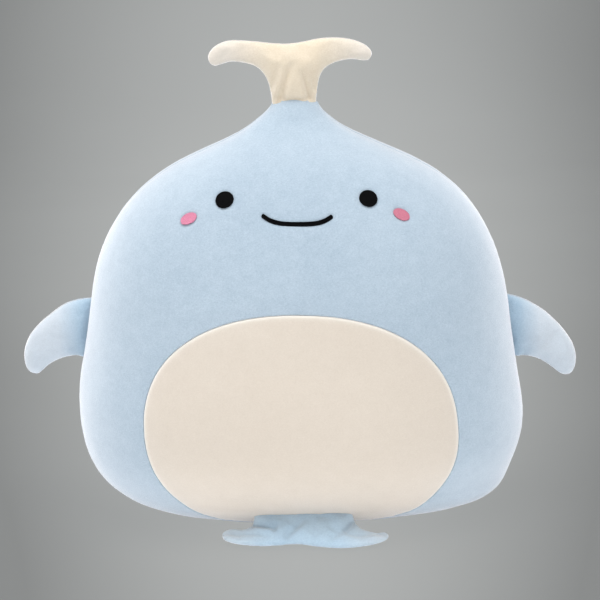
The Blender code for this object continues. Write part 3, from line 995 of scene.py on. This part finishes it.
def wrinkled(limb, flat, facing):
    # a limb's creases and its slight unevenness, faded beside the seam at its root
    made = sum(crease(flat, *fold) for fold in limb["creases"])
    if "creasesFrom" in limb:
        made = made * np.clip((flat[:, 1] - limb["creasesFrom"]) / limbCloth["rootFade"], 0, 1)
    for size, seed, height in limb["unevenness"]:
        made = made + softNoise(flat, size, seed * facing) * height
    if "evenRoot" in limb:
        made = made * np.clip((flat[:, 1] - limb["evenRoot"]) / limbCloth["rootFade"], 0.1, 1)
    return made


limbCloth = {
    "outlineStep": 0.0008,
    "cell": 0.0019,
    "weld": 0.00012,
    "rootFade": 0.006,
    "thickness": 0.0007,
    "fillingCell": 0.003,
    "fillingWeld": 0.0003,
    "fillingInset": 0.0025,  # how far the fibre stays from the seam
    "fillingUnder": 0.0020,  # and under the cloth
    "fillingLeast": 0.0002,
}


def limbHalf(limb, outline, facing, cell, weld, inset=0.0):
    # one panel's pattern, cut to the outline less an inset and raised like a membrane pinned at its rim
    bm, side = limbSheet(outline, cell)
    line = lambda flat: side(flat) + inset
    cutAlong(bm, line, weld)
    flat = vertArray(bm)
    rim = np.array([vert.is_boundary for vert in bm.verts])
    height = membrane(bm, rim)
    height = limb["puff"][facing > 0] * (height / height.max()) ** limb["plump"]
    if facing > 0 or not limb.get("smoothUnder"):
        height = folded(height, wrinkled(limb, flat, facing))
    if inset:
        height = np.maximum(height - limbCloth["fillingUnder"], limbCloth["fillingLeast"])
    height[rim] = 0
    placeVerts(bm, limb["lay"](flat, facing * height))
    return bm, rim, -line(flat)


def limbPiece(name, bm, material, node, thickness=0.0):
    piece = makePiece(name, bm, material, node, None, thickness)
    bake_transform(piece)


def stuffedLimb(limb):
    # two panels cut to an outline, sewn and puffed, and the fibre between them
    name, node, lay = limb["name"], limb["node"], limb["lay"]
    outline = smoothOutline(limb["outline"], limbCloth["outlineStep"])
    for half, facing in limb["halves"].items():
        bm, rim, away = limbHalf(limb, outline, facing, limbCloth["cell"], limbCloth["weld"])
        bm.normal_update()
        outward = Vector((lay(np.zeros((1, 3)), np.ones(1)) - lay(np.zeros((1, 3)), np.zeros(1)))[0]) * facing
        if sum(outward.dot(part.normal) for part in bm.faces) < 0:
            bmesh.ops.reverse_faces(bm, faces=bm.faces)
        pressed = swelling(bm, rim, sewing["limbGrowth"], sewing["limbPressure"])
        give = np.clip(away / sewing["seamHold"], 0, 1)[:, None]
        placeVerts(bm, vertArray(bm) + heldIn(pressed, bm, sewing["limbIn"], sewing["limbOut"]) * give)
        panel = f"{node}_{half.lower()}_panel"
        limbPiece(name + half + "Panel", bm, limb["cloth"], panel, limbCloth["thickness"])
    lower, upper = (
        limbHalf(limb, outline, facing, limbCloth["fillingCell"], limbCloth["fillingWeld"], limbCloth["fillingInset"])[0]
        for facing in (-1, 1)
    )
    other = bpy.data.meshes.new("half")
    upper.to_mesh(other)
    upper.free()
    lower.from_mesh(other)
    bpy.data.meshes.remove(other)
    bmesh.ops.remove_doubles(lower, verts=lower.verts, dist=0.00005)
    bmesh.ops.recalc_face_normals(lower, faces=lower.faces)
    lower.verts.index_update()
    limbPiece(name + "Filling", lower, fibreFill, node + "_filling")


def upright(flat, height):
    return np.c_[flat[:, 0], height, flat[:, 1]]


flipper = {
    "lay": upright,
    "halves": {"Front": -1, "Back": 1},
    "cloth": flipperPlush,
    "slot": "blue_plush",
    "puff": (0.0125, 0.0125),
    "plump": 0.85,
    "fill": 0.7,
    "unevenness": ((0.02, 5.0, 0.0006),),  # size, seed and height
}
flipperRoot = {"aside": 0.1977, "height": 0.1755, "before": 0.001, "after": 0.016}
# each crease from the outline's last corner but one: from, to, width and depth
flipperCreases = (((6, 1), (12, 14), 3.0, 1.2), ((1, 6), (20, 22), 5.0, 1.0))
flipperOutlines = {
    "left": (
        (-190.0, 206.4), (-194.9, 206.1), (-202.8, 205.3), (-210.3, 203.7), (-217.9, 201.0), (-224.8, 196.8),
        (-231.6, 191.6), (-239.2, 185.6), (-246.1, 178.7), (-252.1, 171.0), (-256.3, 162.3), (-258.3, 153.6),
        (-258.2, 145.7), (-256.2, 138.8), (-252.1, 134.4), (-246.9, 133.5), (-242.6, 136.0), (-238.0, 140.3),
        (-231.9, 144.6), (-225.1, 147.8), (-217.5, 150.0), (-210.0, 150.8), (-205.8, 149.7), (-201.0, 148.9),
        (-195.0, 148.5),
    ),
    "right": (
        (188.0, 203.4), (193.1, 202.6), (201.5, 200.3), (210.4, 196.9), (219.6, 191.9), (229.0, 185.5),
        (237.3, 178.0), (244.9, 169.8), (251.5, 160.9), (256.4, 152.1), (258.9, 143.2), (259.2, 135.4),
        (257.7, 128.5), (254.0, 123.7), (249.0, 122.8), (243.6, 124.9), (238.6, 129.0), (232.2, 133.9),
        (225.6, 138.0), (218.0, 141.1), (210.8, 142.4), (206.0, 141.8), (202.6, 141.9), (197.0, 141.9),
    ),
}
for side, outline in flipperOutlines.items():
    sign = -1 if side == "left" else 1
    cornerX, cornerZ = outline[-2]
    root = sign * flipperRoot["aside"]
    creases = [
        ((cornerX + sign * x0, cornerZ + z0), (cornerX + sign * x1, cornerZ + z1), width, depth)
        for (x0, z0), (x1, z1), width, depth in flipperCreases
    ]
    bend = tuple(
        (root + sign * past, 0, flipperRoot["height"]) for past in (-flipperRoot["before"], flipperRoot["after"])
    )
    named = {"name": "flipper" + side.title(), "node": "flipper_" + side, "outline": outline}
    stuffedLimb({**flipper, **named, "creases": creases, "bend": bend})
spout = {
    "name": "spout",
    "node": "spout",
    "lay": upright,
    "halves": {"Front": -1, "Back": 1},
    "cloth": spoutPlush,
    "slot": "cream_plush",
    "puff": (0.0105, 0.0105),
    "plump": 0.8,
    "fill": 0.7,
    "bend": ((0, 0, 0.3860), (0, 0, 0.4020)),
    "creases": (
        ((-13.5, 389), (-3.0, 424), 2.6, 9.0),
        ((13.0, 390), (6.0, 418), 2.2, 8.0),
        ((-21.0, 400), (-13.0, 422), 2.4, 3.5),
        ((18.0, 398), (13.0, 423), 2.4, 4.0),
        ((-12.0, 389.5), (12.0, 389.5), 1.8, 3.0),
        ((12.0, 389.5), (-12.0, 389.5), 1.8, 3.0),
    ),
    "creasesFrom": 0.386,
    "unevenness": ((0.018, 9.0, 0.0009),),
    "outline": (
        (-20.9, 381.0), (-20.9, 385.1), (-22.0, 395.7), (-24.1, 404.9), (-28.4, 413.2), (-35.5, 419.7),
        (-46.3, 423.1), (-57.1, 424.1), (-66.2, 421.9), (-71.7, 420.6), (-76.1, 423.0), (-77.8, 427.7),
        (-76.4, 432.7), (-71.2, 438.5), (-62.6, 442.4), (-53.0, 443.5), (-35.0, 442.1), (-17.0, 440.0),
        (-4.4, 439.6), (8.3, 441.1), (22.7, 443.7), (37.2, 444.3), (51.5, 442.4), (62.3, 438.3),
        (69.0, 432.5), (70.0, 427.6), (67.2, 423.5), (62.2, 422.9), (54.9, 424.1), (45.9, 423.9),
        (35.4, 421.2), (27.7, 416.6), (23.1, 409.4), (20.6, 398.5), (19.1, 384.8), (19.1, 381.0),
    ),
}
stuffedLimb(spout)
tailCurve = {"root": 0.093, "rootHeight": 0.0205, "reach": 0.035, "floor": 0.0026, "fall": 1.8}


def tailCourse(forward):
    # height and slope of the limp fluke, from its seam down to the floor
    drop = tailCurve["rootHeight"] - tailCurve["floor"]
    share = np.clip((forward - tailCurve["root"]) / tailCurve["reach"], 0, 1)
    height = tailCurve["floor"] + drop * (1 - share) ** tailCurve["fall"]
    slope = drop * tailCurve["fall"] / tailCurve["reach"] * (1 - share) ** (tailCurve["fall"] - 1)
    before = np.maximum(tailCurve["root"] - forward, 0)
    return height + before * drop * tailCurve["fall"] / tailCurve["reach"], slope


def onFloor(flat, height):
    base, slope = tailCourse(flat[:, 1])
    stretch = np.sqrt(1 + slope * slope)
    return np.c_[flat[:, 0], -flat[:, 1] - height * slope / stretch, base + height / stretch]


tail = {
    "name": "tail",
    "node": "tail",
    "lay": onFloor,
    "halves": {"Lower": -1, "Upper": 1},
    "cloth": tailPlush,
    "slot": "pale_blue_plush",
    "puff": (0.0016, 0.0078),
    "plump": 0.7,
    "fill": 0.3,
    "bend": ((0, -0.0925, 0.0205), (0, -0.1010, 0.0150)),
    "creases": (
        ((-44, 100), (-26, 106), 2.4, 7.0),
        ((-26, 106), (-24, 99), 2.6, 4.0),
        ((45, 98), (36, 111), 2.8, 6.5),
        ((16, 95), (28, 98), 3.0, 3.5),
        ((-72, 107), (-26, 114), 2.0, 3.5),
        ((73, 111), (38, 115), 2.0, 3.0),
        ((-14, 112), (4, 97), 3.4, 4.0),
        ((-36, 108), (-14, 107), 3.0, -1.5),  # a ridge
    ),
    "smoothUnder": True,
    "evenRoot": 0.0925,
    "unevenness": ((0.014, 2.2, 0.0016), (0.006, 4.2, 0.0005)),
    "outline": (
        (-44.0, 88.5), (-44.2, 91.6), (-44.8, 95.0), (-45.8, 98.7), (-48.8, 101.6), (-55.5, 103.0),
        (-63.5, 101.9), (-69.6, 102.9), (-73.2, 106.6), (-71.2, 112.4), (-60.5, 117.2), (-42.5, 120.2),
        (-26.0, 120.3), (-11.2, 118.7), (-0.4, 119.4), (12.1, 122.6), (26.4, 125.2), (40.8, 125.8),
        (55.2, 123.6), (68.0, 119.5), (75.2, 115.0), (77.0, 110.5), (73.6, 107.6), (66.7, 108.2),
        (59.5, 107.0), (52.6, 104.3), (48.5, 100.2), (46.4, 96.0), (45.6, 93.2), (45.2, 88.5),
    ),
}
stuffedLimb(tail)
print("limbs made")

studio = {
    "halfWidth": 4,
    "frontEdge": -3,
    "backWall": 1.6,
    "sweepRadius": 0.9,
    "sweepSteps": 24,
    "wallTop": 4,
    "underToy": 0.0004,
    "cameraBack": 1.84,  # the painted pool of light widens from here
    "brightPlace": 1.0,
    "brightTone": 0.714,
    "sideFall": 6.7,
    "depthFall": 0.034,
    "grain": 0.004,
    "tint": (0.985, 1.01, 1.0),
    "glow": 0.92,
    "bounce": 0.9,
    "floorGlow": 0.22,  # the floor glows as painted light, standing in for extra bounce, which lifts the toy's lower half
    "floorGlowTint": (0.90, 0.95, 1.0),
    "poolStart": (-1.5, -0.4),
    "dimmestTone": 0.522,  # what shows far off to the sides, and past the floor's edge
    "farShare": 0.955,
    "worldTint": (0.97, 0.99, 1.0),
    "worldStrength": 0.45,
}


def seenDirectly(material):
    # 1 for what the camera sees, also in gloss and through glass
    path = nodeOf(material, "ShaderNodeLightPath")
    rays = ("Is Camera Ray", "Is Glossy Ray", "Is Transmission Ray")
    return mathOf(material, "MAXIMUM", *(path.outputs[ray] for ray in rays))


def shownAs(material, share, first, second, output):
    # the surface: a blend of two shaders
    blend = nodeOf(material, "ShaderNodeMixShader")
    for source, socket in zip((share, first, second), blend.inputs):
        join(material, source, socket)
    join(material, blend.outputs["Shader"], material.node_tree.nodes[output].inputs["Surface"])


def paleSweep():
    # pale grey with a painted pool of light, lightest behind the toy and darker towards both sides
    material, shader = newMaterial("paleSweep", {
        "Roughness": 0.95,
        "Specular IOR Level": 0.05,
        # painted light: the floor glows to light the toy from below
        "Emission Color": (*studio["floorGlowTint"], 1),
        "Emission Strength": studio["floorGlow"],
    })
    coordinate = nodeOf(material, "ShaderNodeTexCoord").outputs["Object"]
    split = nodeOf(material, "ShaderNodeSeparateXYZ")
    join(material, coordinate, split.inputs[0])
    away = mathOf(material, "ADD", split.outputs["Y"], studio["cameraBack"])
    aside = mathOf(material, "DIVIDE", split.outputs["X"], away)
    side = mathOf(material, "MULTIPLY", aside, aside, -studio["sideFall"])
    deep = mathOf(material, "SUBTRACT", split.outputs["Y"], studio["brightPlace"])
    deep = mathOf(material, "MULTIPLY", deep, deep, -studio["depthFall"])
    grain = ranged(material, noiseAt(material, coordinate, 3.0, 2.0), -studio["grain"], studio["grain"])
    tone = mathOf(material, "ADD", side, deep, studio["brightTone"], grain)
    # the painted pool of light ends softly in front of the toy
    extra = mathOf(material, "MAXIMUM", mathOf(material, "SUBTRACT", tone, studio["dimmestTone"]), 0)
    inPool = ranged(material, split.outputs["Y"], 0, 1, *studio["poolStart"], interpolation_type="SMOOTHERSTEP")
    extra = mathOf(material, "MULTIPLY", extra, inPool)
    tone = mathOf(material, "POWER", mathOf(material, "ADD", extra, studio["dimmestTone"]), 2.2)
    colour = nodeOf(material, "ShaderNodeCombineColor")
    for socket, share in zip(colour.inputs, studio["tint"]):
        join(material, mathOf(material, "MULTIPLY", tone, share), socket)
    seen = nodeOf(material, "ShaderNodeEmission")
    join(material, colour.outputs["Color"], seen.inputs["Color"])
    direct = seenDirectly(material)
    lit = mixed(material, direct, (studio["bounce"],) * 3, colour.outputs["Color"])
    join(material, lit, shader.inputs["Base Color"])
    share = mathOf(material, "MULTIPLY", direct, studio["glow"])
    shownAs(material, share, shader.outputs["BSDF"], seen.outputs["Emission"], "Material Output")
    return material


def sweep():
    # a floor that curves up into a wall behind the toy
    bm = bmesh.new()
    left, wall = -studio["halfWidth"], studio["backWall"]
    start = bm.verts.new((left, studio["frontEdge"], 0))
    floorEnd = bm.verts.new((left, wall, 0))
    bm.edges.new((start, floorEnd))
    spun = bmesh.ops.spin(
        bm, geom=[floorEnd], cent=(left, wall, studio["sweepRadius"]), axis=(1, 0, 0),
        angle=math.radians(90), steps=studio["sweepSteps"], use_merge=False,
    )
    last = [part for part in spun["geom_last"] if isinstance(part, bmesh.types.BMVert)][0]
    bm.edges.new((last, bm.verts.new((left, last.co.y, studio["wallTop"]))))
    grown = bmesh.ops.extrude_edge_only(bm, edges=bm.edges[:])
    moved = [part for part in grown["geom"] if isinstance(part, bmesh.types.BMVert)]
    bmesh.ops.translate(bm, vec=(2 * studio["halfWidth"], 0, 0), verts=moved)
    bmesh.ops.translate(bm, vec=(0, 0, -studio["underToy"]), verts=bm.verts)
    bmesh.ops.recalc_face_normals(bm, faces=bm.faces)
    floor = addObject("sweep", meshFrom("sweep", bm))
    floor.data.materials.append(paleSweep())


sweep()
lamps = {
    # place, what it points at, width and height, watts
    "leftBox": ((-1.5, 0.75, 0.60), (0, 0, 0.2), (1.2, 1.6), 13),
    "rightBox": ((1.6, 0.85, 0.60), (0, 0, 0.2), (1.0, 1.6), 7.8),
    "topBox": ((-0.1, -0.35, 1.9), (0, 0, 0.25), (1.6, 1.0), 31.5),
    "lowBox": ((0, -0.85, 0.03), (0, -0.1, 0.10), (1.8, 0.5), 3.1),
}


def softLamp(name, place, target, size, power):
    light = bpy.data.lights.new(name, "AREA")
    light.shape = "RECTANGLE"
    light.size, light.size_y = size
    light.energy = power
    lamp = addObject(name, light)
    lamp.location = place
    lamp.visible_camera = False
    lamp.rotation_euler = (Vector(target) - Vector(place)).to_track_quat("-Z", "Y").to_euler()


for name, settings in lamps.items():
    softLamp(name, *settings)


def studioWorld():
    # soft light from all round; what is seen past the floor is the floor's own dim grey
    world = bpy.data.worlds.new("studio")
    bpy.context.scene.world = world
    world.use_nodes = True
    light = world.node_tree.nodes["Background"]
    light.inputs["Color"].default_value = (*studio["worldTint"], 1)
    light.inputs["Strength"].default_value = studio["worldStrength"]
    grey = studio["dimmestTone"] ** 2.2 * studio["farShare"]
    far = nodeOf(world, "ShaderNodeBackground")
    far.inputs["Color"].default_value = (*(grey * share for share in studio["tint"]), 1)
    shownAs(world, seenDirectly(world), light.outputs["Background"], far.outputs["Background"], "World Output")


studioWorld()
view = {
    "elevation": math.radians(15),
    "distance": 1.9,
    "target": 0.1999,
    "metresPerPixel": 0.000932,
    "roll": math.radians(-1.1),
    "shiftX": 0.002,
    "sensor": 36.0,
    "pixels": 600,
}


def camera():
    eye = bpy.data.cameras.new("camera")
    made = addObject("camera", eye)
    eye.sensor_width = view["sensor"]
    eye.lens = view["distance"] / view["metresPerPixel"] * view["sensor"] / view["pixels"]
    eye.shift_x = view["shiftX"]
    tilt = view["elevation"]
    made.location = (0, -view["distance"] * math.cos(tilt), view["target"] + view["distance"] * math.sin(tilt))
    made.rotation_mode = "XYZ"
    turn = Vector((0, math.cos(tilt), -math.sin(tilt))).to_track_quat("-Z", "Y").to_matrix().to_4x4()
    made.rotation_euler = (turn @ Matrix.Rotation(view["roll"], 4, "Z")).to_euler()
    bpy.context.scene.camera = made


camera()
bpy.context.scene.view_settings.view_transform = "Standard"
